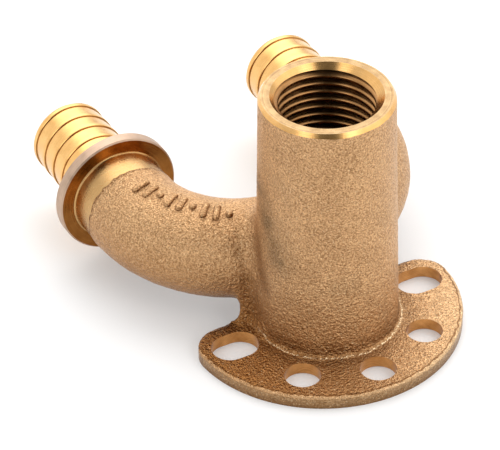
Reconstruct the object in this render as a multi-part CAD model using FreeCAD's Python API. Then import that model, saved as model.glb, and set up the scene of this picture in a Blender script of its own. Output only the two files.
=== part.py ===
import FreeCAD, Part
import math
import os

os.makedirs("parts", exist_ok=True)

# Frame: origin on the boss axis at the wall face, +Z out of the wall along the boss, pipe spigots along +Y.
# All lengths in millimetres.

# Wall flange: a D-shaped plate with tangent front and ear arcs and a straight rear edge.
FLANGE_T = 2.8
FLANGE_FRONT = 26.2
FLANGE_EDGE_BREAK = 0.4
EAR_X = 22.0
EAR_Y = 0.6
EAR_R = 6.0
HOLE_R = 3.6
BOLT_CIRCLE_R = 20.1
HOLE_GAP_DEG = 43.35
SLOT_X = 21.0
SLOT_Y = -0.3
SLOT_R = 3.8
SLOT_LENGTH = 9.7

# Boss: a tall cast cone of slight draft, faced and chamfered at the mouth.
BOSS_H = 55.65
BOSS_BASE_R = 14.3
BOSS_TOP_R = 13.25
RIM_R = 12.7
RIM_CHAMFER_H = 0.87
BOSS_TOE = 0.6
BOSS_TOE_REAR_Y = 4.6

# Female half-inch parallel pipe thread: wall at the minor diameter, with a mouth chamfer.
THREAD_R = 9.3155
THREAD_LENGTH = 18.0
MOUTH_R = 11.0
CHAMBER_R = 8.6
CHAMBER_FLOOR_Z = 6.0

# Bent tube: a planar U passing behind the boss, tilted slightly about X.
SPIGOT_X = 24.92
SPIGOT_Z = 14.4
BEND_R = 22.92
TUBE_Y = 12.46
TUBE_R = 9.9
TUBE_BORE_R = 6.3
CORE_RUNS = 4
PORT_R = 5.6
PORT_Z = 13.4
TUBE_TILT_DEG = 2.58
BLEND_R = 4.0

# Web: a skirt that drops from the tube's flank to the flange and ends flush with the rear edge.
WEB_INSET = 0.1
WEB_TOP_Z = 12.4
WEB_FOOT_R = 1.6

# Turned spigot: neck, collar and four saw-tooth ribs, given by distances from the collar's arm-side face.
NECK_START_Y = 35.5
NECK_OVERLAP = 1.0
NECK_R = 9.75
NECK_FILLET_R = 0.6
COLLAR_Y = 41.3
COLLAR_R = 12.85
COLLAR_T = 2.75
COLLAR_CHAMFER = 0.3
ROOT_R = 7.65
CREST_R = 8.05
CREST_LAND = 0.9
FIRST_RIB = 9.7
RIB_PITCH = 4.0
RIB_COUNT = 4
SPIGOT_LENGTH = 23.8
TIP_R = 7.2
SPIGOT_BORE_R = 5.8
TIP_BORE_CHAMFER = 0.4

# Length by which cutters run past the faces they open.
PAST = 2.0

ORIGIN = FreeCAD.Vector(0, 0, 0)
X_DIR = FreeCAD.Vector(1, 0, 0)
Y_DIR = FreeCAD.Vector(0, 1, 0)
Z_DIR = FreeCAD.Vector(0, 0, 1)
FLANGE_REAR_Y = EAR_Y + EAR_R


def vec(x, y, z=0.0):
    return FreeCAD.Vector(x, y, z)


def mirrored(p):
    """The point on the other side of the plane of symmetry."""
    return vec(-p.x, p.y, p.z)


def prism(edges, height):
    """Solid raised from a closed outline in the plane z = 0."""
    return Part.Face(Part.Wire(edges)).extrude(vec(0, 0, height))


def revolved(points, base, direction):
    """Solid of revolution of a closed outline."""
    face = Part.Face(Part.makePolygon(points + [points[0]]))
    return face.revolve(base, direction, 360)


def edges_at_flange_top(shape):
    """Edges that lie in the plane of the flange's top face."""
    found = []
    for edge in shape.Edges:
        box = edge.BoundBox
        if abs(box.ZMin - FLANGE_T) < 0.01 and abs(box.ZMax - FLANGE_T) < 0.01:
            found.append(edge)
    return found


def plate():
    """D-shaped plate: the front arc is tangent to both ear arcs, which are tangent to the rear edge."""
    inner = FLANGE_FRONT - EAR_R
    centre_y = (EAR_X ** 2 + EAR_Y ** 2 - inner ** 2) / (2 * (inner + EAR_Y))
    front_r = FLANGE_FRONT + centre_y
    a = math.atan2(EAR_Y - centre_y, EAR_X)
    touch = vec(front_r * math.cos(a), centre_y + front_r * math.sin(a))
    mid_a = (a + math.pi / 2) / 2
    mid = vec(EAR_X + EAR_R * math.cos(mid_a), EAR_Y + EAR_R * math.sin(mid_a))
    rear = vec(EAR_X, FLANGE_REAR_Y)
    outline = [
        Part.Arc(mirrored(touch), vec(0, -FLANGE_FRONT), touch).toShape(),
        Part.Arc(touch, mid, rear).toShape(),
        Part.makeLine(rear, mirrored(rear)),
        Part.Arc(mirrored(rear), mirrored(mid), mirrored(touch)).toShape(),
    ]
    return prism(outline, FLANGE_T)


def web():
    """Skirt under the tube: its front follows the tube's plan outline, its rear is flush with the flange."""
    run = SPIGOT_X - BEND_R
    centre_y = TUBE_Y + BEND_R
    r = BEND_R + TUBE_R - WEB_INSET
    end = math.acos((centre_y - FLANGE_REAR_Y) / r)
    front, middle, rear = [
        vec(run + r * math.sin(a), centre_y - r * math.cos(a)) for a in (0, end / 2, end)
    ]
    outline = [
        Part.makeLine(mirrored(front), front),
        Part.Arc(front, middle, rear).toShape(),
        Part.makeLine(rear, mirrored(rear)),
        Part.Arc(mirrored(rear), mirrored(middle), mirrored(front)).toShape(),
    ]
    return prism(outline, WEB_TOP_Z)


def flange():
    """Plate and web, with the web's foot filleted onto the plate and the plate's upper rim broken."""
    joined = plate().fuse(web()).removeSplitter()
    foot = [e for e in edges_at_flange_top(joined) if e.BoundBox.YMin > 1.0 and abs(e.CenterOfMass.x) < 17]
    joined = joined.makeFillet(WEB_FOOT_R, foot)
    rim = max(edges_at_flange_top(joined), key=lambda e: e.Length)
    return joined.makeChamfer(FLANGE_EDGE_BREAK, [rim])


def slot_cutter(x):
    """Round-ended slot along X, centred at (x, SLOT_Y)."""
    half = SLOT_LENGTH / 2 - SLOT_R
    h = FLANGE_T + 2 * PAST
    ends = [Part.makeCylinder(SLOT_R, h, vec(x + s * half, SLOT_Y, -PAST)) for s in (-1, 1)]
    middle = Part.makeBox(2 * half, 2 * SLOT_R, h, vec(x - half, SLOT_Y - SLOT_R, -PAST))
    return ends[0].fuse([ends[1], middle]).removeSplitter()


def flange_holes():
    """Three round screw holes on the front arc and a slot in each ear."""
    cutters = [slot_cutter(-SLOT_X), slot_cutter(SLOT_X)]
    for k in (-1, 0, 1):
        a = math.radians(-90 + k * HOLE_GAP_DEG)
        at = vec(BOLT_CIRCLE_R * math.cos(a), BOLT_CIRCLE_R * math.sin(a), -PAST)
        cutters.append(Part.makeCylinder(HOLE_R, FLANGE_T + 2 * PAST, at))
    return cutters


def boss():
    """Tapered boss with a turned chamfer round its rim."""
    outline = [
        vec(0, 0, 0),
        vec(BOSS_BASE_R, 0, 0),
        vec(BOSS_TOP_R, 0, BOSS_H - RIM_CHAMFER_H),
        vec(RIM_R, 0, BOSS_H),
        vec(0, 0, BOSS_H),
    ]
    return revolved(outline, ORIGIN, Z_DIR)


def tilted(shape):
    """Leans the U about X, so that it drops towards the boss."""
    shape.rotate(vec(0, NECK_START_Y, SPIGOT_Z), X_DIR, TUBE_TILT_DEG)
    return shape


def tube():
    """Outside of the U: a short straight behind the boss and a quarter bend to each side."""
    run = SPIGOT_X - BEND_R
    bar = Part.makeCylinder(TUBE_R, 2 * run, vec(-run, TUBE_Y, SPIGOT_Z), X_DIR)
    for start, x in ((-90, run), (180, -run)):
        bend = Part.makeTorus(BEND_R, TUBE_R, ORIGIN, Z_DIR, -180, 180, 90)
        bend.rotate(ORIGIN, Z_DIR, start)
        bend.translate(vec(x, TUBE_Y + BEND_R, SPIGOT_Z))
        bar = bar.fuse(bend)
    return tilted(bar.removeSplitter())


def tube_core():
    """Cored passage of the U, in short mitred runs along the tube's centre line."""
    run = SPIGOT_X - BEND_R
    right = []
    for k in range(CORE_RUNS + 1):
        a = math.radians(90 * k / CORE_RUNS)
        right.append(vec(run + BEND_R * math.sin(a), TUBE_Y + BEND_R * (1 - math.cos(a)), SPIGOT_Z))
    line = [mirrored(p) for p in reversed(right)] + right
    section = Part.Wire(Part.makeCircle(TUBE_BORE_R, line[0], line[1] - line[0]))
    mitred_corners = 1
    return tilted(Part.makePolygon(line).makePipeShell([section], True, False, mitred_corners))


def boss_on_tube():
    """Boss and tube joined, with the whole seam between them blended."""
    joined = boss().fuse(tube()).removeSplitter()
    seam = [e for e in joined.Edges if isinstance(e.Curve, Part.BSplineCurve)]
    return joined.makeFillet(BLEND_R, seam)


def spigot(side):
    """Turned neck, collar and ribbed pipe spigot about the spigot axis, on the side -1 or +1."""
    inner = SPIGOT_BORE_R / 2
    profile = [
        (inner, NECK_START_Y - NECK_OVERLAP),
        (NECK_R, NECK_START_Y - NECK_OVERLAP),
        (NECK_R, COLLAR_Y - NECK_FILLET_R),
        (NECK_R + NECK_FILLET_R, COLLAR_Y),
        (COLLAR_R - COLLAR_CHAMFER, COLLAR_Y),
        (COLLAR_R, COLLAR_Y + COLLAR_CHAMFER),
        (COLLAR_R, COLLAR_Y + COLLAR_T - COLLAR_CHAMFER),
        (COLLAR_R - COLLAR_CHAMFER, COLLAR_Y + COLLAR_T),
        (ROOT_R, COLLAR_Y + COLLAR_T),
    ]
    for k in range(RIB_COUNT):
        step = COLLAR_Y + FIRST_RIB + k * RIB_PITCH
        profile += [(ROOT_R, step), (CREST_R, step), (CREST_R, step + CREST_LAND)]
    profile += [(TIP_R, COLLAR_Y + SPIGOT_LENGTH), (inner, COLLAR_Y + SPIGOT_LENGTH)]
    points = [vec(side * SPIGOT_X + r, y, SPIGOT_Z) for r, y in profile]
    return revolved(points, vec(side * SPIGOT_X, 0, SPIGOT_Z), Y_DIR)


def thread_cavity():
    """Mouth chamfer, thread bore and the plain chamber below it."""
    outline = [
        vec(0, 0, CHAMBER_FLOOR_Z),
        vec(CHAMBER_R, 0, CHAMBER_FLOOR_Z),
        vec(CHAMBER_R, 0, BOSS_H - THREAD_LENGTH),
        vec(THREAD_R, 0, BOSS_H - THREAD_LENGTH),
        vec(THREAD_R, 0, BOSS_H - (MOUTH_R - THREAD_R)),
        vec(MOUTH_R, 0, BOSS_H),
        vec(MOUTH_R, 0, BOSS_H + PAST),
        vec(0, 0, BOSS_H + PAST),
    ]
    return revolved(outline, ORIGIN, Z_DIR)


def water_way():
    """Bore along the U and through both spigots, with a port into the boss chamber."""
    tip_y = COLLAR_Y + SPIGOT_LENGTH
    start_y = NECK_START_Y - NECK_OVERLAP
    cutters = [tube_core()]
    for x in (-SPIGOT_X, SPIGOT_X):
        bore = Part.makeCylinder(SPIGOT_BORE_R, tip_y - start_y + PAST, vec(x, start_y, SPIGOT_Z), Y_DIR)
        wide = SPIGOT_BORE_R + TIP_BORE_CHAMFER
        mouth_at = vec(x, tip_y - TIP_BORE_CHAMFER, SPIGOT_Z)
        mouth = Part.makeCone(SPIGOT_BORE_R, wide, TIP_BORE_CHAMFER, mouth_at, Y_DIR)
        cutters += [bore, mouth]
    cutters.append(Part.makeCylinder(PORT_R, TUBE_Y, vec(0, 0, PORT_Z), Y_DIR))
    return cutters


def boss_toe():
    """Small flared ring where the boss meets the flange, running into the web's foot on both sides."""
    draft = (BOSS_BASE_R - BOSS_TOP_R) / (BOSS_H - RIM_CHAMFER_H)
    head_r = BOSS_BASE_R - draft * (FLANGE_T + BOSS_TOE)
    foot_r = head_r + BOSS_TOE
    ring = Part.makeCone(foot_r, head_r, BOSS_TOE, vec(0, 0, FLANGE_T))
    front = Part.makeBox(2 * foot_r, foot_r + BOSS_TOE_REAR_Y, BOSS_TOE, vec(-foot_r, -foot_r, FLANGE_T))
    return ring.common(front)


def elbow_body():
    """The whole casting after machining."""
    solid = boss_on_tube().fuse([flange(), boss_toe(), spigot(-1), spigot(1)])
    return solid.cut(flange_holes() + [thread_cavity()] + water_way()).removeSplitter()


body = elbow_body()
body.exportStep("parts/elbow_body.step")
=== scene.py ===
"""Wall plate elbow: a rough cast skin with turned, faced, drilled and threaded surfaces cut into it."""
import math

import bpy
import numpy as np
from mathutils import Matrix, Vector, noise


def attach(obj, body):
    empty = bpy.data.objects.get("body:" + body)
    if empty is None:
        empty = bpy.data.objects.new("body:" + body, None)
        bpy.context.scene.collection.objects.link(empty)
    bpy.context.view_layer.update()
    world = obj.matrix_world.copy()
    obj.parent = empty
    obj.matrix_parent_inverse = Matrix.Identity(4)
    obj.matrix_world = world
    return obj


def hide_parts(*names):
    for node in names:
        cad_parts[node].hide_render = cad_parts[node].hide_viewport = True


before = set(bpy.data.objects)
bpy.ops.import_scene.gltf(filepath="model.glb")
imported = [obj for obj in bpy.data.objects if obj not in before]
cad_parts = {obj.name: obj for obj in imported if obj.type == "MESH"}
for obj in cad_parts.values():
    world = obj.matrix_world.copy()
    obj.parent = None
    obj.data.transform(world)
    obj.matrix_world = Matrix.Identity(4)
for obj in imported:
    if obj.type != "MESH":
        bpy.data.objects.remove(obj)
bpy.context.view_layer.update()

# Lengths are in millimetres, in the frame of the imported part.
MM = 0.001

# Boss, thread and chamber
BOSS_H = 55.65
BOSS_TOP_R = 13.25
RIM_R = 12.7
RIM_CHAMFER_H = 0.87
FACING_REACH = 2.2
FACING_R = 19.0
FACING_TOP = 60.0
MOUTH_R = 11.0
MOUTH_OVERLAP = 1.0
THREAD_MINOR_R = 9.3155
THREAD_MAJOR_R = 10.4775
THREAD_PITCH = 1.814
THREAD_LENGTH = 18.0
THREAD_PHASE = 0.43
THREAD_OVERRUN = 1.5
# One turn of the thread from its crest: share of the pitch, share of the depth.
THREAD_FORM = (
    (-0.17, 0.03), (-0.05, 0.0), (0.06, 0.03), (0.13, 0.09), (0.19, 0.2), (0.3, 0.5),
    (0.41, 0.82), (0.47, 0.95), (0.53, 0.95), (0.6, 0.8), (0.7, 0.47), (0.79, 0.14),
)
CREST_ROWS = 5
CHAMBER_R = 8.6
CHAMBER_FLOOR_Z = 6.0
PORT_R = 5.6
PORT_Z = 13.4

# Flange, its holes and its slots
FLANGE_T = 2.8
FLANGE_FRONT = 26.2
EAR_X = 22.0
EAR_Y = 0.6
EAR_R = 6.0
ARC_Y = (EAR_X ** 2 + EAR_Y ** 2 - (FLANGE_FRONT - EAR_R) ** 2) / (2 * (FLANGE_FRONT - EAR_R + EAR_Y))
ARC_R = FLANGE_FRONT + ARC_Y
TRIM = -0.12
TRIM_EDGE = 0.55
TRIM_REACH = 4.0
HOLE_R = 3.6
DEBURR = 0.3
BOLT_CIRCLE_R = 20.1
HOLE_GAP = math.radians(43.35)
SLOT_X = 21.0
SLOT_Y = -0.3
SLOT_R = 3.8
SLOT_LENGTH = 9.7

# Bent tube
SPIGOT_X = 24.92
SPIGOT_Z = 14.4
BEND_R = 22.92
TUBE_Y = 12.46
TUBE_R = 9.9
TUBE_BORE_R = 6.3
TUBE_TILT = math.radians(2.58)

# Casting marks, in degrees along the bend and round the tube: every third is a pip, the others are strokes.
MARK_COUNT = 9
MARK_START = 78.0
MARK_STEP = 6.0
MARK_MIDDLE = 57.0
MARK_LEAN = 88.0
MARK_DROOP = 0.008
STROKE_REACH = 8.0
PIP_REACH = 0.5
MARK_R = 0.72
MARK_LIFT = -0.05
MARK_TIP = 0.02

# Turned spigots
NECK_START_Y = 35.6
NECK_R = 9.75
NECK_FILLET_R = 0.35
NECK_ENTRY = 1.1
NECK_ENTRY_RISE = 0.42
NECK_ENTRY_END = 0.3
RAGGED = 0.45
RAGGED_STEP = 0.61
RAGGED_SEED = 7.3
RAGGED_LEVEL = 0.5
COLLAR_Y = 41.3
COLLAR_R = 12.85
COLLAR_T = 2.75
COLLAR_CHAMFER = 0.3
ROOT_R = 7.8
ROOT_CHAMFER = 0.4
CREST_R = 8.05
CREST_LAND = 0.9
FIRST_RIB = 9.7
RIB_PITCH = 4.0
RIB_COUNT = 4
RIB_EDGE_DROP = 0.07
RIB_EDGE_RUN = 0.03
RIB_ROUND = 0.14
LAND_BLEND = 0.1
LAND_DROP = 0.03
SPIGOT_LENGTH = 23.8
TIP_R = 7.2
TIP_EDGE = 0.12
TIP_FACE_IN = 0.1
TIP_BORE_CHAMFER = 0.4
SPIGOT_BORE_R = 5.8
TIP_Y = COLLAR_Y + SPIGOT_LENGTH
TURNING_R = 18.0
CORE_OVERLAP = 0.5
# Finishes of the lathe's cut, in the order in which the cut takes them.
TURNED, SATIN, BACK, GROOVED, SKIN, NECKED = range(6)

# Stock of the rough casting
STOCK = 0.4
SKIN_GROW = 0.05
FOOT_DEPTH = 1.5
FOOT_OVERLAP = 0.4
PLUG_R = 10.0
PLUG_LOW = 3.0
PLUG_HIGH = 50.0
CAP_LOW = 53.0
CAP_HIGH = 57.0
TURNING_START = 34.0
TURNING_END = 66.0
VOXEL = 0.5

# Unevenness of the sand: name, size, detail and height of each layer.
SAND = (("waves", 7.0, 1, 0.15), ("lumps", 2.0, 1, 0.1), ("grit", 0.9, 0, 0.09))
SAND_MIDDLE = 0.55
# Softened corners beside the boss: middle and half size of their zone across, along and up.
CORNER_ZONE = ((13.0, 5.0), (6.0, 7.5), (7.0, 8.5))
CORNER_GAIN = 4.0
SOFTEN_STEP = 0.5
SOFTEN_TIMES = 150
# Fold down each arm's front
FOLD_X = 15.35
FOLD_HALF = 1.1
FOLD_LOW = 6.0
FOLD_LOW_FADE = 3.0
FOLD_HIGH = 23.0
FOLD_HIGH_FADE = 4.0
FOLD_BACK_Y = 12.0
FOLD_DEPTH = 0.28

# Meshing
ROUND = 128
BORE_ROUND = 96
HOLE_ROUND = 64
TUBE_ROUND = 48
MARK_ROUND = 16
MARK_ROWS = 8
BEND_STEPS = 16
ARC_STEPS = 48
EAR_STEPS = 12
FILLET_STEPS = 4
# Cuts reach this far past the faces that they leave.
CLEAR = 2.0
# Block that cuts the foot flat at the wall.
WALL_CUT = ((-60, -60), (60, -60), (60, 90), (-60, 90))
WALL_CUT_DEPTH = 10.0
# Points nearer than this count as one.
TOUCH = 0.001
SHARP_ANGLE = math.radians(32)


# Mesh helpers


def link(name, data):
    obj = bpy.data.objects.new(name, data)
    bpy.context.scene.collection.objects.link(obj)
    return obj


def closed_mesh(name, verts, faces):
    """Mesh from points in millimetres, with its faces turned outwards."""
    mesh = bpy.data.meshes.new(name)
    mesh.from_pydata([tuple(c * MM for c in v) for v in verts], [], faces)
    mesh.update()
    volume = 0.0
    for p in mesh.polygons:
        ring = [mesh.vertices[i].co for i in p.vertices]
        for k in range(1, len(ring) - 1):
            volume += ring[0].dot(ring[k].cross(ring[k + 1]))
    if volume < 0:
        mesh.flip_normals()
    return mesh


def lathe(name, profile, at, axis, segments=ROUND):
    """Solid of revolution of a closed profile of (radius, height) about the Z or Y axis through a point."""
    verts = []
    rings = []
    for r, h in profile:
        start = len(verts)
        count = segments if r > 0 else 1
        for i in range(count):
            a = 2 * math.pi * i / segments
            if axis == "Z":
                verts.append((at[0] + r * math.cos(a), at[1] + r * math.sin(a), at[2] + h))
            else:
                verts.append((at[0] + r * math.cos(a), at[1] + h, at[2] + r * math.sin(a)))
        rings.append((start, count))
    faces = []
    for (s0, n0), (s1, n1) in zip(rings, rings[1:] + rings[:1]):
        for i in range(segments):
            j = (i + 1) % segments
            if n0 > 1 and n1 > 1:
                faces.append((s0 + i, s0 + j, s1 + j, s1 + i))
            elif n0 > 1:
                faces.append((s0 + i, s0 + j, s1))
            elif n1 > 1:
                faces.append((s0, s1 + j, s1 + i))
    return closed_mesh(name, verts, faces)


def ringed(name, verts, segments):
    """Closed mesh over a row of equal rings of points, with flat ends."""
    last = len(verts) - segments
    faces = []
    for low in range(0, last, segments):
        high = low + segments
        for i in range(segments):
            j = (i + 1) % segments
            faces.append((low + i, low + j, high + j, high + i))
    faces.append(tuple(range(segments))[::-1])
    faces.append(tuple(range(last, last + segments)))
    return closed_mesh(name, verts, faces)


def prism(name, outline, low, high):
    """Upright solid over an outline, between two heights."""
    return ringed(name, [(x, y, z) for z in (low, high) for x, y in outline], len(outline))


def swept(name, path, radius):
    """Round bar along a path that stays near level."""
    verts = []
    path = [Vector(p) for p in path]
    for k, p in enumerate(path):
        ahead = path[min(k + 1, len(path) - 1)] - path[max(k - 1, 0)]
        side = ahead.cross(Vector((0, 0, 1))).normalized()
        up = side.cross(ahead).normalized()
        for i in range(TUBE_ROUND):
            a = 2 * math.pi * i / TUBE_ROUND
            verts.append(tuple(p + radius * (math.cos(a) * side + math.sin(a) * up)))
    return ringed(name, verts, TUBE_ROUND)


def settle(obj):
    """Puts the modified mesh in place of the object's own."""
    deps = bpy.context.evaluated_depsgraph_get()
    made = bpy.data.meshes.new_from_object(obj.evaluated_get(deps))
    obj.modifiers.clear()
    obj.data = made


def joined(name, meshes):
    """One object that holds several closed meshes, which may overlap."""
    verts = []
    faces = []
    for mesh in meshes:
        start = len(verts)
        verts += [v.co.copy() for v in mesh.vertices]
        faces += [tuple(start + i for i in p.vertices) for p in mesh.polygons]
    out = bpy.data.meshes.new(name)
    out.from_pydata(verts, [], faces)
    return link(name, out)


def combine(obj, mesh, *finishes, operation="DIFFERENCE"):
    """Cuts a closed mesh out of the object, or adds it; new faces take the mesh's finishes."""
    for finish in finishes:
        mesh.materials.append(finish)
    tool = link("tool", mesh)
    mod = obj.modifiers.new("tool", "BOOLEAN")
    mod.operation = operation
    mod.solver = "MANIFOLD"
    mod.material_mode = "TRANSFER"
    mod.object = tool
    settle(obj)
    bpy.data.objects.remove(tool)


def weigh(obj, name, share):
    """Vertex group weighted by a function of each point's place in millimetres."""
    group = obj.vertex_groups.new(name=name)
    for v in obj.data.vertices:
        weight = share(*(c / MM for c in v.co))
        if weight > 0:
            group.add([v.index], min(1.0, weight), "REPLACE")


# The rough casting


def tube_line(end_y):
    """Centre line of the bent tube, carried along both spigots as far as end_y."""
    run = SPIGOT_X - BEND_R
    right = []
    for k in range(BEND_STEPS + 1):
        a = math.pi / 2 * k / BEND_STEPS
        y = TUBE_Y + BEND_R * (1 - math.cos(a))
        drop = (y - (TUBE_Y + BEND_R)) * math.tan(TUBE_TILT)
        right.append((run + BEND_R * math.sin(a), y, SPIGOT_Z + drop))
    right.append((SPIGOT_X, end_y, SPIGOT_Z))
    return [(-x, y, z) for x, y, z in reversed(right)] + right


def hole_centres():
    """Places of the flange's three round holes."""
    out = []
    for k in (-1, 0, 1):
        a = -math.pi / 2 + k * HOLE_GAP
        out.append((BOLT_CIRCLE_R * math.cos(a), BOLT_CIRCLE_R * math.sin(a)))
    return out


def slot_mesh(x, low, high, grow=0.0):
    """Round-ended slot along X."""
    r = SLOT_R + grow
    half = SLOT_LENGTH / 2 - SLOT_R
    outline = []
    for i in range(HOLE_ROUND + 2):
        right = i <= HOLE_ROUND // 2
        a = -math.pi / 2 + 2 * math.pi * (i if right else i - 1) / HOLE_ROUND
        outline.append((x + (half if right else -half) + r * math.cos(a), SLOT_Y + r * math.sin(a)))
    return prism("slot", outline, low, high)


def foot_stock(solid):
    """The solid's wall face carried down below the wall, so that the sawn foot has a clean edge."""
    under = [p for p in solid.polygons if all(abs(solid.vertices[i].co.z) < TOUCH * MM for i in p.vertices)]
    used = sorted({i for p in under for i in p.vertices})
    place = {v: k for k, v in enumerate(used)}
    n = len(used)
    flat = [(solid.vertices[v].co.x / MM, solid.vertices[v].co.y / MM) for v in used]
    verts = [(x, y, z) for z in (FOOT_OVERLAP, -FOOT_DEPTH) for x, y in flat]
    rims = {}
    faces = []
    for p in under:
        ring = [place[i] for i in p.vertices]
        faces.append(tuple(ring[::-1]))
        faces.append(tuple(n + i for i in ring))
        for a, b in zip(ring, ring[1:] + ring[:1]):
            if (b, a) in rims:
                del rims[(b, a)]
            else:
                rims[(a, b)] = True
    faces += [(a, b, n + b, n + a) for a, b in rims]
    return closed_mesh("foot_stock", verts, faces)


def boss_stock():
    """Fills the boss and caps it above its finished height."""
    cap_r = BOSS_TOP_R + SKIN_GROW
    profile = [(0, PLUG_LOW), (PLUG_R, PLUG_LOW), (PLUG_R, PLUG_HIGH), (cap_r, CAP_LOW),
               (BOSS_TOP_R, CAP_HIGH), (0, CAP_HIGH)]
    return lathe("boss_stock", profile, (0, 0, 0), "Z")


def spigot_stock(side):
    """Plain bar from which one spigot is turned."""
    neck_r = TUBE_R + SKIN_GROW
    bar_r = COLLAR_R + STOCK
    bar_y = COLLAR_Y - STOCK
    profile = [(0, TURNING_START), (neck_r, TURNING_START), (neck_r, bar_y), (bar_r, bar_y),
               (bar_r, TURNING_END), (0, TURNING_END)]
    return lathe("spigot_stock", profile, (side * SPIGOT_X, 0, SPIGOT_Z), "Y")


def hole_stock(x, y):
    """Plug of one round hole."""
    r = HOLE_R + STOCK
    profile = [(0, -FOOT_DEPTH), (r, -FOOT_DEPTH), (r, FLANGE_T), (0, FLANGE_T)]
    return lathe("hole_stock", profile, (x, y, 0), "Z", HOLE_ROUND)


def rough_casting():
    """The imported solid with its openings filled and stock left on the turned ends, remeshed as one skin."""
    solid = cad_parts["elbow_body"].data
    pieces = [solid, foot_stock(solid), boss_stock()]
    pieces.append(swept("core_stock", tube_line(COLLAR_Y), TUBE_BORE_R + STOCK))
    for side in (-1, 1):
        pieces.append(spigot_stock(side))
        pieces.append(slot_mesh(side * SLOT_X, -FOOT_DEPTH, FLANGE_T, STOCK))
    for x, y in hole_centres():
        pieces.append(hole_stock(x, y))
    obj = joined("elbow_casting", pieces)
    mod = obj.modifiers.new("skin", "REMESH")
    mod.mode = "VOXEL"
    mod.voxel_size = VOXEL * MM
    settle(obj)
    return obj


def soften(obj):
    """Rounds the inside corners where flange, web and arm meet beside the boss."""

    def inside(x, y, z):
        reach = max(abs(c - middle) / half for c, (middle, half) in zip((abs(x), y, z), CORNER_ZONE))
        return CORNER_GAIN * (1 - reach)

    weigh(obj, "corners", inside)
    mod = obj.modifiers.new("corners", "SMOOTH")
    mod.vertex_group = "corners"
    mod.factor = SOFTEN_STEP
    mod.iterations = SOFTEN_TIMES
    settle(obj)
    obj.vertex_groups.clear()


def fold(obj):
    """Sinks the shallow fold that runs down each arm's front beside the boss."""

    def inside(x, y, z):
        across = 1 - abs(abs(x) - FOLD_X) / FOLD_HALF
        return min(across, (z - FOLD_LOW) / FOLD_LOW_FADE, (FOLD_HIGH - z) / FOLD_HIGH_FADE, FOLD_BACK_Y - y)

    weigh(obj, "fold", inside)
    mod = obj.modifiers.new("fold", "DISPLACE")
    mod.vertex_group = "fold"
    mod.mid_level = 0.0
    mod.strength = -FOLD_DEPTH * MM
    settle(obj)
    obj.vertex_groups.clear()


def undulate(obj):
    """Moves the skin in and out as sand leaves it: broad waves and fine unevenness."""
    for name, size, detail, height in SAND:
        tex = bpy.data.textures.new(name, "CLOUDS")
        tex.noise_scale = size * MM
        tex.noise_depth = detail
        tex.noise_basis = "ORIGINAL_PERLIN"
        mod = obj.modifiers.new(name, "DISPLACE")
        mod.texture = tex
        mod.texture_coords = "LOCAL"
        mod.mid_level = SAND_MIDDLE
        mod.strength = height * MM
    settle(obj)


def mark_place(bend, lean):
    """Point on the left arm's skin: angle along its bend, angle round its tube."""
    r = TUBE_R + MARK_LIFT
    reach = BEND_R + r * math.cos(lean)
    ahead = -reach * math.cos(bend)
    up = r * math.sin(lean)
    x = -(SPIGOT_X - BEND_R + reach * math.sin(bend))
    y = TUBE_Y + BEND_R + ahead - up * math.sin(TUBE_TILT)
    z = SPIGOT_Z + ahead * math.sin(TUBE_TILT) + up
    return Vector((x, y, z))


def stroke(start, end):
    """Round bar between two points, with a round end at each."""
    along = (end - start).normalized()
    side = along.cross(Vector((0, 0, 1))).normalized()
    up = side.cross(along)
    verts = []
    for k in range(MARK_ROWS + 1):
        t = math.pi * k / MARK_ROWS
        at = (start if k <= MARK_ROWS // 2 else end) - along * math.cos(t) * MARK_R
        r = max(math.sin(t), MARK_TIP) * MARK_R
        for i in range(MARK_ROUND):
            a = 2 * math.pi * i / MARK_ROUND
            verts.append(tuple(at + r * (math.cos(a) * side + math.sin(a) * up)))
    return ringed("stroke", verts, MARK_ROUND)


def casting_marks(obj):
    """A plain row of raised foundry strokes and pips along the top of the left arm."""
    for k in range(MARK_COUNT):
        bend = MARK_START - k * MARK_STEP
        lean = math.radians(MARK_LEAN - MARK_DROOP * (bend - MARK_MIDDLE) ** 2)
        half = math.radians(PIP_REACH if k % 3 == 2 else STROKE_REACH)
        start = mark_place(math.radians(bend), lean - half)
        end = mark_place(math.radians(bend), lean + half)
        combine(obj, stroke(start, end), cast, operation="UNION")


# Machining


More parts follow.
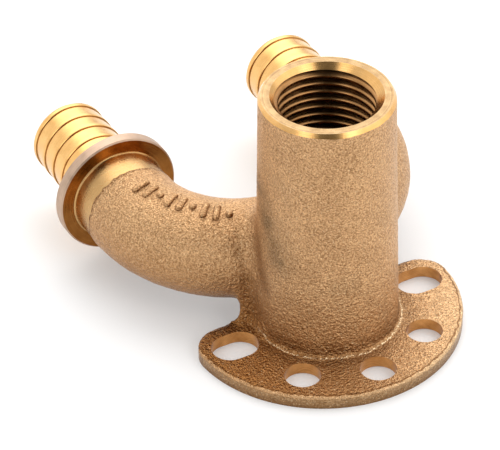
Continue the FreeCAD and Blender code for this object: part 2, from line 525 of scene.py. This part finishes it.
def spigot_tool(side):
    """All that the lathe removes round one spigot: neck, collar, ribs and tip."""
    entry = NECK_START_Y - NECK_ENTRY
    front = COLLAR_Y + COLLAR_T
    c = COLLAR_CHAMFER
    # Radius and place along the spigot of each point, and the finish of the face that follows it.
    rows = [
        (TURNING_R, entry, TURNED),
        (NECK_R + NECK_ENTRY_RISE, entry, SKIN),
        (NECK_R, NECK_START_Y - NECK_ENTRY_END, NECKED),
    ]
    for k in range(FILLET_STEPS + 1):
        a = math.pi / 2 * k / FILLET_STEPS
        r = NECK_R + NECK_FILLET_R * (1 - math.cos(a))
        y = COLLAR_Y - NECK_FILLET_R * (1 - math.sin(a))
        rows.append((r, y, NECKED if k < FILLET_STEPS else BACK))
    rows += [
        (COLLAR_R - c, COLLAR_Y, SATIN),
        (COLLAR_R, COLLAR_Y + c, SATIN),
        (COLLAR_R, front - c, SATIN),
        (COLLAR_R - c, front, TURNED),
        (ROOT_R + ROOT_CHAMFER, front, TURNED),
        (ROOT_R, front + ROOT_CHAMFER, TURNED),
    ]
    for k in range(RIB_COUNT):
        step = COLLAR_Y + FIRST_RIB + k * RIB_PITCH
        land_end = step + CREST_LAND
        rows += [
            (ROOT_R, step, GROOVED),
            (CREST_R - RIB_EDGE_DROP, step + RIB_EDGE_RUN, TURNED),
            (CREST_R, step + RIB_ROUND, TURNED),
            (CREST_R, land_end - LAND_BLEND, TURNED),
            (CREST_R - LAND_DROP, land_end + LAND_BLEND, TURNED),
        ]
    rows += [
        (TIP_R + TIP_EDGE, TIP_Y - TIP_EDGE, TURNED),
        (TIP_R - TIP_FACE_IN, TIP_Y, TURNED),
        (0, TIP_Y, TURNED),
        (0, TIP_Y + CLEAR, TURNED),
        (TURNING_R, TIP_Y + CLEAR, TURNED),
    ]
    mesh = lathe("spigot_tool", [(r, y) for r, y, finish in rows], (side * SPIGOT_X, 0, SPIGOT_Z), "Y")
    for k, face in enumerate(mesh.polygons):
        face.material_index = rows[k // ROUND][2]
    # The two rings at the neck's start waver together, so that the cut ends in a ragged border.
    for i in range(ROUND):
        waver = RAGGED * MM * noise.noise(Vector((i * RAGGED_STEP, side * RAGGED_SEED, RAGGED_LEVEL)))
        for ring in (1, 2):
            mesh.vertices[ring * ROUND + i].co.y += waver
    return mesh


def facing_tool():
    """What the facing cut removes above the boss, with the chamfer round its rim."""
    slope = (BOSS_TOP_R - RIM_R) / RIM_CHAMFER_H
    low = BOSS_H - FACING_REACH
    profile = [(0, BOSS_H), (RIM_R, BOSS_H), (RIM_R + slope * FACING_REACH, low), (FACING_R, low),
               (FACING_R, FACING_TOP), (0, FACING_TOP)]
    mesh = lathe("facing_tool", profile, (0, 0, 0), "Z")
    for k, face in enumerate(mesh.polygons):
        face.material_index = int(k // ROUND == 1)
    return mesh


def thread_tool():
    """Tap: a right-hand helix of rounded grooves of about 55 degrees, up to above the mouth."""
    rows = len(THREAD_FORM)
    low = BOSS_H - THREAD_LENGTH + THREAD_PHASE * THREAD_PITCH
    count = int((THREAD_LENGTH + THREAD_OVERRUN * THREAD_PITCH) / THREAD_PITCH * rows)
    high = low + THREAD_PITCH * (count / rows + 1)
    verts = []
    for j in range(count + 1):
        rise, depth = THREAD_FORM[j % rows]
        r = THREAD_MINOR_R + (THREAD_MAJOR_R - THREAD_MINOR_R) * depth
        for i in range(ROUND):
            a = 2 * math.pi * i / ROUND
            z = low + THREAD_PITCH * (j // rows + rise + i / ROUND)
            verts.append((r * math.cos(a), r * math.sin(a), z))

    def at(i, j):
        return (j + rows) * ROUND if i == ROUND else j * ROUND + i

    faces = []
    for j in range(count):
        for i in range(ROUND):
            if i < ROUND - 1 or j + 1 + rows <= count:
                faces.append((at(i, j), at(i + 1, j), at(i + 1, j + 1), at(i, j + 1)))
    bottom = [at(i, 0) for i in range(ROUND)] + [at(0, j) for j in range(rows, 0, -1)]
    top = [at(i, count) for i in range(ROUND)]
    top += [at(ROUND - 1, j) for j in range(count - 1, count - rows - 1, -1)]
    for ring, z in ((bottom[::-1], low), (top, high)):
        hub = len(verts)
        verts.append((0, 0, z))
        faces += [(a, b, hub) for a, b in zip(ring, ring[1:] + ring[:1])]
    mesh = closed_mesh("thread_tool", verts, faces)
    for face in mesh.polygons:
        row = min(face.vertices) // ROUND % rows
        face.material_index = int(row < CREST_ROWS)
    return mesh


def flange_outline(grow):
    """The flange's rim from one ear's rear, round the front, to the other ear's rear."""
    turn = math.atan2(EAR_Y - ARC_Y, EAR_X)
    right = []
    for k in range(EAR_STEPS + 1):
        a = math.pi / 2 + (turn - math.pi / 2) * k / EAR_STEPS
        right.append((EAR_X + (EAR_R + grow) * math.cos(a), EAR_Y + (EAR_R + grow) * math.sin(a)))
    for k in range(1, ARC_STEPS + 1):
        a = turn + (-math.pi / 2 - turn) * k / ARC_STEPS
        right.append(((ARC_R + grow) * math.cos(a), ARC_Y + (ARC_R + grow) * math.sin(a)))
    return right + [(-x, y) for x, y in reversed(right[:-1])]


def trim_tool():
    """What the trim press shears off round the flange's rim, below its rounded upper edge."""
    inner = flange_outline(TRIM)
    loop = inner + flange_outline(TRIM_REACH)[::-1]
    n = len(loop)
    verts = [(x, y, z) for z in (-FOOT_DEPTH - CLEAR, FLANGE_T - TRIM_EDGE) for x, y in loop]
    faces = [(i, (i + 1) % n, n + (i + 1) % n, n + i) for i in range(n)]
    for k in range(len(inner) - 1):
        quad = (k, k + 1, n - 2 - k, n - 1 - k)
        faces += [quad[::-1], tuple(n + i for i in quad)]
    return closed_mesh("trim_tool", verts, faces)


def machine_boss(obj):
    """Faces, chamfers, bores and taps the boss."""
    combine(obj, facing_tool(), faced, chamfered)
    mouth = [(0, BOSS_H - MOUTH_R), (MOUTH_R + CLEAR, BOSS_H + CLEAR), (0, BOSS_H + CLEAR)]
    combine(obj, lathe("mouth", mouth, (0, 0, 0), "Z"), chamfered)
    top = BOSS_H - MOUTH_OVERLAP
    chamber = [(0, CHAMBER_FLOOR_Z), (CHAMBER_R, CHAMBER_FLOOR_Z), (CHAMBER_R, top), (0, top)]
    combine(obj, lathe("chamber", chamber, (0, 0, 0), "Z"), drilled)
    combine(obj, thread_tool(), threaded, crest)


def machine_spigot(obj, side):
    """Turns and bores one spigot."""
    combine(obj, spigot_tool(side), turned, collar_satin, collar_back, grooved, cast, necked)
    mouth_r = SPIGOT_BORE_R + TIP_BORE_CHAMFER
    bore = [(0, NECK_START_Y), (SPIGOT_BORE_R, NECK_START_Y), (SPIGOT_BORE_R, TIP_Y - TIP_BORE_CHAMFER),
            (mouth_r, TIP_Y), (mouth_r, TIP_Y + CLEAR), (0, TIP_Y + CLEAR)]
    combine(obj, lathe("bore", bore, (side * SPIGOT_X, 0, SPIGOT_Z), "Y", BORE_ROUND), turned)


def machine_slot(obj, side):
    """Cuts one ear's slot, a little wider at its very bottom."""
    combine(obj, slot_mesh(side * SLOT_X, -CLEAR, FLANGE_T + CLEAR), drilled)
    combine(obj, slot_mesh(side * SLOT_X, -CLEAR, DEBURR, DEBURR), drilled)


def machine_hole(obj, x, y):
    """Drills one round hole, with a small chamfer at its very bottom."""
    wide = HOLE_R + DEBURR
    high = FLANGE_T + CLEAR
    drill = [(0, -CLEAR), (wide, -CLEAR), (wide, 0), (HOLE_R, DEBURR), (HOLE_R, high), (0, high)]
    combine(obj, lathe("drill", drill, (x, y, 0), "Z", HOLE_ROUND), drilled)


def machine(obj):
    """Every cut after casting, in the order of a machinist's card."""
    combine(obj, trim_tool(), trimmed)
    combine(obj, prism("wall", WALL_CUT, -WALL_CUT_DEPTH, 0), cast)
    machine_boss(obj)
    for side in (-1, 1):
        machine_spigot(obj, side)
        machine_slot(obj, side)
    combine(obj, swept("core", tube_line(NECK_START_Y + CORE_OVERLAP), TUBE_BORE_R), cast)
    port = [(0, 0), (PORT_R, 0), (PORT_R, TUBE_Y), (0, TUBE_Y)]
    combine(obj, lathe("port", port, (0, 0, PORT_Z), "Y", HOLE_ROUND), drilled)
    for x, y in hole_centres():
        machine_hole(obj, x, y)


def weld(obj):
    """Joins the nearly equal points that the cuts leave, and splits the faces into triangles."""
    mod = obj.modifiers.new("weld", "WELD")
    mod.merge_threshold = TOUCH * MM
    mod = obj.modifiers.new("triangles", "TRIANGULATE")
    mod.quad_method = "BEAUTY"
    mod.ngon_method = "BEAUTY"
    settle(obj)


def shade(obj):
    """Smooth shading, with sharp edges where faces turn hard or the finish changes."""
    mesh = obj.data
    mesh.shade_smooth()
    mesh.set_sharp_from_angle(angle=SHARP_ANGLE)
    finish = np.zeros(len(mesh.polygons), np.int32)
    mesh.polygons.foreach_get("material_index", finish)
    sharp = mesh.attributes["sharp_edge"].data
    seen = {}
    borders = set()
    for p in mesh.polygons:
        for key in p.edge_keys:
            if seen.setdefault(key, finish[p.index]) != finish[p.index]:
                borders.add(key)
    for e in mesh.edges:
        if tuple(sorted(e.vertices)) in borders:
            sharp[e.index].value = True


# Node helpers


class Graph:
    """Short hand for building the nodes of a material or a world."""

    COLOR_MIX_INPUTS = (0, 6, 7)
    COLOR_MIX_OUTPUT = 2

    def __init__(self, owner):
        owner.use_nodes = True
        self.tree = owner.node_tree

    def fill(self, socket, value):
        """Links a socket to another one, or sets it to a plain value."""
        if isinstance(value, bpy.types.NodeSocket):
            self.tree.links.new(value, socket)
        else:
            socket.default_value = value

    def node(self, kind, **values):
        """New node; each value goes to the input of that name, or else to the node's own setting."""
        made = self.tree.nodes.new(kind)
        for key, value in values.items():
            if key in made.inputs:
                self.fill(made.inputs[key], value)
            else:
                setattr(made, key, value)
        return made

    def feed(self, made, *values):
        """Fills a node's inputs in order, and gives its outputs."""
        for socket, value in zip(made.inputs, values):
            self.fill(socket, value)
        return made.outputs

    def math(self, operation, *terms):
        return self.feed(self.node("ShaderNodeMath", operation=operation), *terms)[0]

    def add(self, first, second):
        return self.math("ADD", first, second)

    def less(self, first, second):
        return self.math("SUBTRACT", first, second)

    def times(self, first, second):
        return self.math("MULTIPLY", first, second)

    def hypot(self, first, second):
        return self.math("SQRT", self.add(self.times(first, first), self.times(second, second)))

    def vector(self, operation, first, second):
        return self.feed(self.node("ShaderNodeVectorMath", operation=operation), first, second)

    def span(self, value, low, high, to_low=0.0, to_high=1.0, shape="LINEAR"):
        """Ramp from to_low, where the value is low, to to_high, where it is high."""
        ends = {"Value": value, "From Min": low, "From Max": high, "To Min": to_low, "To Max": to_high}
        return self.node("ShaderNodeMapRange", interpolation_type=shape, **ends).outputs["Result"]

    def mix(self, factor, first, second, blend="MIX"):
        """Colour between two colours."""
        made = self.node("ShaderNodeMix", data_type="RGBA", blend_type=blend)
        for k, value in zip(self.COLOR_MIX_INPUTS, (factor, first, second)):
            self.fill(made.inputs[k], (*value, 1) if isinstance(value, tuple) else value)
        return made.outputs[self.COLOR_MIX_OUTPUT]


class Metal(Graph):
    """Nodes of a metal finish, which read places on the part in millimetres."""

    def __init__(self, name):
        self.mat = bpy.data.materials.new(name)
        super().__init__(self.mat)
        self.shader = self.tree.nodes["Principled BSDF"]
        self.shader.inputs["Metallic"].default_value = 1.0
        coords = self.node("ShaderNodeTexCoord")
        scaled = self.node("ShaderNodeVectorMath", operation="SCALE", Scale=1 / MM)
        self.point = self.feed(scaled, coords.outputs["Object"])[0]
        self.x, self.y, self.z = self.feed(self.node("ShaderNodeSeparateXYZ"), self.point)

    def noise(self, scale, detail, rough, place=None):
        made = self.node("ShaderNodeTexNoise", Scale=scale, Detail=detail, Roughness=rough)
        self.fill(made.inputs["Vector"], place or self.point)
        return made.outputs["Fac"]

    def toward(self, side):
        """Distance from the boss axis toward one side, given as a level direction."""
        return self.add(self.times(self.x, side[0]), self.times(self.y, side[1]))

    def radius(self, centre_y):
        """Distance from an upright axis that stands at x = 0."""
        return self.hypot(self.x, self.less(self.y, centre_y))

    def spigot_radius(self):
        """Distance from the nearest spigot's axis."""
        return self.hypot(self.less(self.math("ABSOLUTE", self.x), SPIGOT_X), self.less(self.z, SPIGOT_Z))

    def from_line(self, start, end):
        """Distance from the straight line between two points."""
        along = Vector(end) - Vector(start)
        gap = self.vector("SUBTRACT", self.point, start)[0]
        share = self.vector("DOT_PRODUCT", gap, along / along.length_squared)["Value"]
        foot = self.vector("MULTIPLY", along, self.span(share, 0.0, 1.0))[0]
        return self.vector("DISTANCE", gap, foot)["Value"]

    def finish(self, color, roughness, height, depth):
        """Fills the shader, with a bump of some depth, and gives the material."""
        bump = self.node("ShaderNodeBump", Strength=1.0, Distance=depth * MM, Height=height)
        for key, value in (("Base Color", color), ("Roughness", roughness), ("Normal", bump.outputs[0])):
            self.fill(self.shader.inputs[key], value)
        return self.mat


# Cast finish

# Noises: scale per millimetre, detail, roughness.
FINE_GRAIN = (3.0, 1.5, 0.6)
COARSE_GRAIN = (1.45, 2.0, 0.6)
PATCHES = (0.1, 2.0, 0.5)
SPOTS = (3.1, 0.0, 0.5)
CLOUDS = (0.28, 2.0, 0.5)
SWAY = (0.7, 2.0, 0.5)

# Ramps: from, to and, where they are not 0 and 1, the values there.
COARSE_HEIGHTS = (30.0, 3.0)
FINE_TONE = (0.33, 0.67, -0.6, 0.6)
COARSE_TONE = (0.3, 0.7, -0.4, 0.4)
COARSE_SHARE = (0.0, 1.0, 0.3, 1.0)
PATCH_TONE = (0.25, 0.75, 0.3, 0.7)
TONE_RANGE = (-0.2, 1.2)
LEFT_SHADE_FADE = (1.0, 5.2, 1.0, 0.0)
LEFT_SHADE_CLOUDS = (0.35, 0.65, 0.4, 1.0)
PATCH_STAIN = (0.56, 0.7, 0.0, 0.3)
JOINT_SHADE_FADE = (0.8, 3.6, 0.62, 0.0)
JOINT_SHADE_CLOUDS = (0.3, 0.6, 0.7, 1.0)
LIT_REACH = (-16.0, 24.0)
LOW_SHADE_HEIGHTS = (19.0, 3.0)
LOW_SHADE_FADE = (0.0, 1.0, 1.0, 0.0)
FLAT_HEIGHTS = (FLANGE_T + 0.6, FLANGE_T + 1.1, 1.0, 0.0)
FLAT_LIGHT_SHARE = (17.0, 25.0, 0.0, 0.15)
AO_SHADE = (0.88, 0.42)
BORDER_LINE_REACH = (NECK_START_Y - 1.25, NECK_START_Y - 0.95)
BORDER_LINE_SPOTS = (0.35, 0.6, 0.9, 0.2)
SWAY_RANGE = (0.3, 0.7, -0.2, 0.2)
TOE_FADE = (0.07, 0.18, 1.0, 0.0)
TOE_BEADS = (0.42, 0.6, 0.15, 1.0)
GLINT_SPOTS = (0.66, 0.78, 0.0, 0.35)
RIM_HEIGHTS = (FLANGE_T - 0.6, FLANGE_T - 0.4)
RIM_HIGHLIGHT_FADE = (0.6, 0.45)
RIM_SHADOW_FADE = (0.08, 0.24, 1.0, 0.0)
FINE_ROUGH = (0.3, 0.7, 0.5, 0.36)
LOW_GLOSS = (20.0, 3.0, 0.0, 0.13)
WRINKLE_LOW = (0.0, 1.0, 0.3, 1.3)
WRINKLE_LIT = (0.5, 1.0, 1.0, 0.45)
WRINKLE_FLAT = (0.0, 1.0, 1.0, 0.7)

# Line down the boss's left side along which grey shade is painted.
LEFT_SHADE_LINE = ((-12.6, -4.0, 24.0), (-13.0, 3.0, 37.0))
# Lines where the left arm and web meet the boss, along which dark shade is painted.
JOINT_SHADE_BY_BOSS = ((-13.5, 4.0, 23.0), (-14.0, 0.5, 15.0))
JOINT_SHADE_ON_WEB = ((-15.0, 5.0, 13.0), (-15.5, 4.0, 5.0))
# Level direction toward the lit side: painted light grows and painted low shade fades that way.
LIT_SIDE = (0.877, -0.481)
# Reach and samples of the ambient occlusion that paints shade into corners.
AO_SHADE_REACH = 8.5
AO_SHADE_SAMPLES = 8
TOE_R = 14.85
# Place of the painted shadow line inside the flange's rim edge, and shares of it and of the painted
# highlight.
RIM_SHADOW_IN = 0.75
RIM_HIGHLIGHT_SHARE = 0.25
RIM_SHADOW_SHARE = 0.8
FINE_HEIGHT = 0.65

# Grey, multiplied in random patches and as painted shade down the boss's left side.
GREY_STAIN_AND_SHADE = (0.48, 0.49, 0.48)
# Redder, darker brown: painted shade low down.
LOW_SHADE = (0.40, 0.178, 0.054)
# Dark brown for painted shade in corners and joints, the painted shadow inside the rim and the neck border's
# line.
DARK_BROWN = (0.175, 0.073, 0.021)
# Pale colour for painted light on the flange's top toward the lit side.
PAINTED_LIGHT = (0.84, 0.58, 0.33)
# Pale gold for painted glints, the painted highlight on the rim's edge and the bright beading round the
# boss's toe.
PALE_GOLD = (0.9, 0.68, 0.42)


def stained_and_shaded(g, color, patches):
    """Random grey patches, painted grey shade on the boss's left, painted dark shade where arm and web meet
    it.
    """
    clouds = g.noise(*CLOUDS)
    # Painted grey shade down the boss's left side, broken up by clouds.
    left_shade = g.times(g.span(g.from_line(*LEFT_SHADE_LINE), *LEFT_SHADE_FADE), g.span(clouds, *LEFT_SHADE_CLOUDS))
    color = g.mix(g.math("MAXIMUM", left_shade, g.span(patches, *PATCH_STAIN)), color, GREY_STAIN_AND_SHADE, "MULTIPLY")
    # Painted dark shade where the left arm and web meet the boss.
    joint = g.math("MINIMUM", g.from_line(*JOINT_SHADE_BY_BOSS), g.from_line(*JOINT_SHADE_ON_WEB))
    joint_shade = g.times(g.span(joint, *JOINT_SHADE_FADE), g.span(clouds, *JOINT_SHADE_CLOUDS))
    return g.mix(joint_shade, color, DARK_BROWN)


def edged(g, color, flat, spots):
    """Bright beading round the boss's toe, painted glints in spots, painted highlight and shadow at the rim.
    """
    sway = g.span(g.noise(*SWAY), *SWAY_RANGE)
    toe_gap = g.math("ABSOLUTE", g.add(g.radius(0.0), g.less(sway, TOE_R)))
    toe = g.times(g.span(toe_gap, *TOE_FADE), flat)
    # Painted glints in spots, and bright beading round the boss's toe.
    glints_and_beads = g.add(g.span(spots, *GLINT_SPOTS), g.times(toe, g.span(spots, *TOE_BEADS)))
    color = g.mix(glints_and_beads, color, PALE_GOLD)
    rim_gap = g.add(g.less(ARC_R, g.radius(ARC_Y)), sway)
    on_top = g.times(flat, g.span(g.z, *RIM_HEIGHTS))
    # Painted highlight on the rim's edge, and a painted shadow line just inside it.
    rim_highlight = g.times(g.span(rim_gap, *RIM_HIGHLIGHT_FADE), on_top)
    rim_shadow = g.times(g.span(g.math("ABSOLUTE", g.less(rim_gap, RIM_SHADOW_IN)), *RIM_SHADOW_FADE), on_top)
    color = g.mix(g.times(rim_highlight, RIM_HIGHLIGHT_SHARE), color, PALE_GOLD)
    return g.mix(g.times(rim_shadow, RIM_SHADOW_SHARE), color, DARK_BROWN)


def cast_finish(name, dark, light, depth, skin):
    """Blasted sand-cast skin: fine grain on the boss and arms, coarse wrinkled grain low down."""
    g = Metal(name)
    fine = g.noise(*FINE_GRAIN)
    coarse = g.noise(*COARSE_GRAIN)
    patches = g.noise(*PATCHES)
    spots = g.noise(*SPOTS)
    low = g.span(g.z, *COARSE_HEIGHTS)
    flat = g.span(g.z, *FLAT_HEIGHTS)
    # How far a point lies toward the lit side, along which painted light and shade are laid.
    toward_lit = g.toward(LIT_SIDE)
    lit_share = g.span(toward_lit, *LIT_REACH)

    grit = g.add(g.span(fine, *FINE_TONE), g.times(g.span(coarse, *COARSE_TONE), g.span(low, *COARSE_SHARE)))
    tone = g.add(grit, g.span(patches, *PATCH_TONE))
    color = stained_and_shaded(g, g.mix(g.span(tone, *TONE_RANGE), dark, light), patches)
    # Painted shade low down, fading out toward the lit side; skin sets its strength.
    low_shade = g.times(g.span(g.z, *LOW_SHADE_HEIGHTS, 0.0, skin), g.span(lit_share, *LOW_SHADE_FADE))
    color = g.mix(low_shade, color, LOW_SHADE)
    # Painted light on the flange's top toward the lit side.
    color = g.mix(g.times(g.span(toward_lit, *FLAT_LIGHT_SHARE), flat), color, PAINTED_LIGHT)
    # Painted shade in corners, from ambient occlusion.
    ao_shade = g.node("ShaderNodeAmbientOcclusion", samples=AO_SHADE_SAMPLES, Distance=AO_SHADE_REACH * MM)
    color = g.mix(g.span(ao_shade.outputs["AO"], *AO_SHADE), color, DARK_BROWN)
    # Dark broken line on the skin just before the turned neck's border.
    border_line = g.times(g.span(g.y, *BORDER_LINE_REACH), g.span(spots, *BORDER_LINE_SPOTS))
    color = edged(g, g.mix(border_line, color, DARK_BROWN), flat, spots)

    rough = g.less(g.span(fine, *FINE_ROUGH), g.span(g.z, *LOW_GLOSS))
    wrinkles = g.times(g.span(low, *WRINKLE_LOW), g.span(g.times(lit_share, flat), *WRINKLE_LIT))
    wrinkles = g.times(wrinkles, g.span(flat, *WRINKLE_FLAT))
    height = g.add(g.times(fine, FINE_HEIGHT), g.times(coarse, wrinkles))
    return g.finish(color, rough, height, depth)


# Turned finish

TOOL_LINES = (3.2, 3.0, 0.7)
TURNED_CLOUDS = (0.5, 2.0, 0.5)
TURNED_TONE = (0.7, 1.3)
CLOUD_RANGE = (0.3, 0.7)
SMOOTHEST = 0.8
ROUGHEST = 1.25
# Painted dark reflection down a thread's rear side: colour, side and reach.
DARK_REFLECTION = (0.03, 0.012, 0.004)
REAR_SIDE = (0.472, 0.881)
DARK_REFLECTION_REACH = (0.8 * THREAD_MAJOR_R, 0.95 * THREAD_MAJOR_R, 0.0, 0.85)


def turned_finish(name, dark, light, rough, depth, on_spigot=False, dark_rear=False):
    """Machined face with tool rings about its own axis; a thread gets a painted dark reflection on one side.
    """
    g = Metal(name)
    along = g.add(g.spigot_radius(), g.y) if on_spigot else g.add(g.radius(0.0), g.z)
    lines = g.noise(*TOOL_LINES, g.node("ShaderNodeCombineXYZ", X=along).outputs[0])
    clouds = g.noise(*TURNED_CLOUDS)
    color = g.mix(g.span(g.add(lines, clouds), *TURNED_TONE), dark, light)
    # Painted dark reflection down the rear side of the bore.
    if dark_rear:
        color = g.mix(g.span(g.toward(REAR_SIDE), *DARK_REFLECTION_REACH), color, DARK_REFLECTION)
    roughness = g.span(clouds, *CLOUD_RANGE, rough * SMOOTHEST, rough * ROUGHEST)
    return g.finish(color, roughness, lines, depth)


# Materials

# skin sets how strong the painted shade low down is.
cast = cast_finish("cast_skin", depth=0.52, skin=0.95,
                   dark=(0.32, 0.172, 0.074), light=(0.75, 0.458, 0.231))
trimmed = cast_finish("trimmed_edge", depth=0.3, skin=0.25,
                      dark=(0.40, 0.25, 0.12), light=(0.88, 0.605, 0.335))
faced = turned_finish("faced_gunmetal", rough=0.25, depth=0.08,
                      dark=(0.235, 0.14, 0.06), light=(0.475, 0.32, 0.158))
chamfered = turned_finish("chamfered_gunmetal", rough=0.16, depth=0.02,
                          dark=(0.68, 0.37, 0.122), light=(0.82, 0.48, 0.182))
drilled = turned_finish("drilled_gunmetal", rough=0.2, depth=0.02,
                        dark=(0.42, 0.18, 0.052), light=(0.72, 0.37, 0.13))
threaded = turned_finish("threaded_gunmetal", rough=0.42, depth=0.01, dark_rear=True,
                         dark=(0.30, 0.14, 0.045), light=(0.44, 0.22, 0.08))
crest = turned_finish("crest_gunmetal", rough=0.24, depth=0.01, dark_rear=True,
                      dark=(0.30, 0.145, 0.05), light=(0.44, 0.235, 0.095))
turned = turned_finish("turned_gunmetal", rough=0.2, depth=0.01, on_spigot=True,
                       dark=(0.76, 0.42, 0.137), light=(0.86, 0.512, 0.188))
collar_satin = turned_finish("satin_gunmetal", rough=0.42, depth=0.03, on_spigot=True,
                             dark=(0.37, 0.25, 0.175), light=(0.57, 0.41, 0.30))
# Darker copy of the turned finish on the collar's back face: painted dark reflection.
collar_back = turned_finish("collar_back_gunmetal", rough=0.14, depth=0.06, on_spigot=True,
                            dark=(0.28, 0.104, 0.021), light=(0.43, 0.18, 0.042))
# Darker copy of the turned finish in the rib grooves: painted shade.
grooved = turned_finish("grooved_gunmetal", rough=0.35, depth=0.01, on_spigot=True,
                        dark=(0.36, 0.2, 0.07), light=(0.48, 0.28, 0.105))
necked = turned_finish("necked_gunmetal", rough=0.26, depth=0.03, on_spigot=True,
                       dark=(0.46, 0.268, 0.102), light=(0.57, 0.352, 0.15))


# Floor, light and camera

FLOOR_HALF = 4000.0
FLOOR_Z = -0.03
FLOOR_GLOW = 0.24
PAPER = (0.93, 0.93, 0.93, 1)
WHITE = (1, 1, 1, 1)
TENT_LEVEL = 0.9
# Brighter panels of the tent: direction, inner and outer angle in degrees, added level.
TENT_LIGHTS = (
    ((0.298, 0.538, 0.788), 8, 50, 2.1),
    ((0.68, -0.66, 0.3), 8, 56, 0.8),
    ((-0.63, 0.7, 0.34), 8, 38, 0.3),
    ((-0.731, -0.296, 0.616), 10, 19, 1.4),
    ((0.164, -0.771, 0.616), 10, 19, 1.4),
)
# Dark openings of the tent: direction, inner and outer angle in degrees, share of light lost.
TENT_OPENINGS = (
    ((-0.302, -0.568, 0.766), 13, 23, 0.82),
    ((-0.435, -0.819, 0.375), 14, 24, 0.75),
    ((-0.05, -0.1, 1.0), 10, 22, 0.88),
)
CAMERA_TARGET = (-9.15, 14.71, 18.2)
CAMERA_DISTANCE = 690.0
CAMERA_HEADING = math.radians(28.191)
CAMERA_PITCH = math.radians(37.535)
CAMERA_ROLL = math.radians(-0.947)
CAMERA_LENS = 251.1
CAMERA_SENSOR = 36.0
CAMERA_CLIP = 10.0


def paper_finish():
    """White paper that keeps the shadow, with a share of glow for the camera and for reflections."""
    mat = bpy.data.materials.new("white_paper")
    g = Graph(mat)
    g.tree.nodes.remove(g.tree.nodes["Principled BSDF"])
    paper = g.node("ShaderNodeBsdfDiffuse", Color=PAPER).outputs[0]
    glow = g.node("ShaderNodeEmission", Strength=1.0).outputs[0]
    rays = g.node("ShaderNodeLightPath").outputs
    seen = rays["Is Camera Ray"]
    for kind in ("Is Glossy Ray", "Is Transmission Ray"):
        seen = g.math("MAXIMUM", seen, rays[kind])
    shown = g.feed(g.node("ShaderNodeMixShader"), g.times(seen, FLOOR_GLOW), paper, glow)[0]
    g.fill(g.tree.nodes["Material Output"].inputs["Surface"], shown)
    return mat


def paper_floor():
    """Wide flat floor just under the wall face."""
    half = FLOOR_HALF * MM
    corners = [(-half, -half), (half, -half), (half, half), (-half, half)]
    mesh = bpy.data.meshes.new("floor")
    mesh.from_pydata([(x, y, FLOOR_Z * MM) for x, y in corners], [], [(0, 1, 2, 3)])
    mesh.materials.append(paper_finish())
    return link("floor", mesh)


def light_tent():
    """White tent all round, with brighter panels and dark openings; the camera itself sees plain white."""
    tent = bpy.data.worlds.new("light_tent")
    bpy.context.scene.world = tent
    g = Graph(tent)
    way = g.node("ShaderNodeTexCoord").outputs["Generated"]

    def toward(direction, inner, outer):
        """1 within the inner angle of a direction, 0 beyond the outer one."""
        facing = g.vector("DOT_PRODUCT", way, Vector(direction).normalized())["Value"]
        ends = (math.cos(math.radians(angle)) for angle in (outer, inner))
        return g.span(facing, *ends, shape="SMOOTHSTEP")

    level = TENT_LEVEL
    for direction, inner, outer, amount in TENT_LIGHTS:
        level = g.add(level, g.times(toward(direction, inner, outer), amount))
    for direction, inner, outer, lost in TENT_OPENINGS:
        level = g.times(level, g.less(1.0, g.times(toward(direction, inner, outer), lost)))
    seen = g.node("ShaderNodeLightPath").outputs["Is Camera Ray"]
    shown = g.tree.nodes["Background"]
    g.fill(shown.inputs["Color"], WHITE)
    g.fill(shown.inputs["Strength"], g.span(seen, 0.0, 1.0, level, 1.0))


def photo_camera():
    """Camera at the photograph's viewing angle."""
    data = bpy.data.cameras.new("camera")
    data.sensor_fit = "HORIZONTAL"
    data.sensor_width = CAMERA_SENSOR
    data.lens = CAMERA_LENS
    data.clip_start = CAMERA_CLIP * MM
    heading = Matrix.Rotation(-CAMERA_HEADING, 4, "Z")
    pitch = Matrix.Rotation(math.pi / 2 - CAMERA_PITCH, 4, "X")
    roll = Matrix.Rotation(CAMERA_ROLL, 4, "Z")
    back = Matrix.Translation((0, 0, CAMERA_DISTANCE * MM))
    camera = link("camera", data)
    camera.matrix_world = Matrix.Translation(Vector(CAMERA_TARGET) * MM) @ heading @ pitch @ roll @ back
    return camera


# The part

body = rough_casting()
soften(body)
fold(body)
undulate(body)
body.data.materials.clear()
body.data.materials.append(cast)
casting_marks(body)
machine(body)
weld(body)
shade(body)
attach(body, "root")
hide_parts("elbow_body")

# The stage

floor = paper_floor()
light_tent()
bpy.context.scene.camera = photo_camera()
bpy.context.scene.view_settings.view_transform = "Standard"
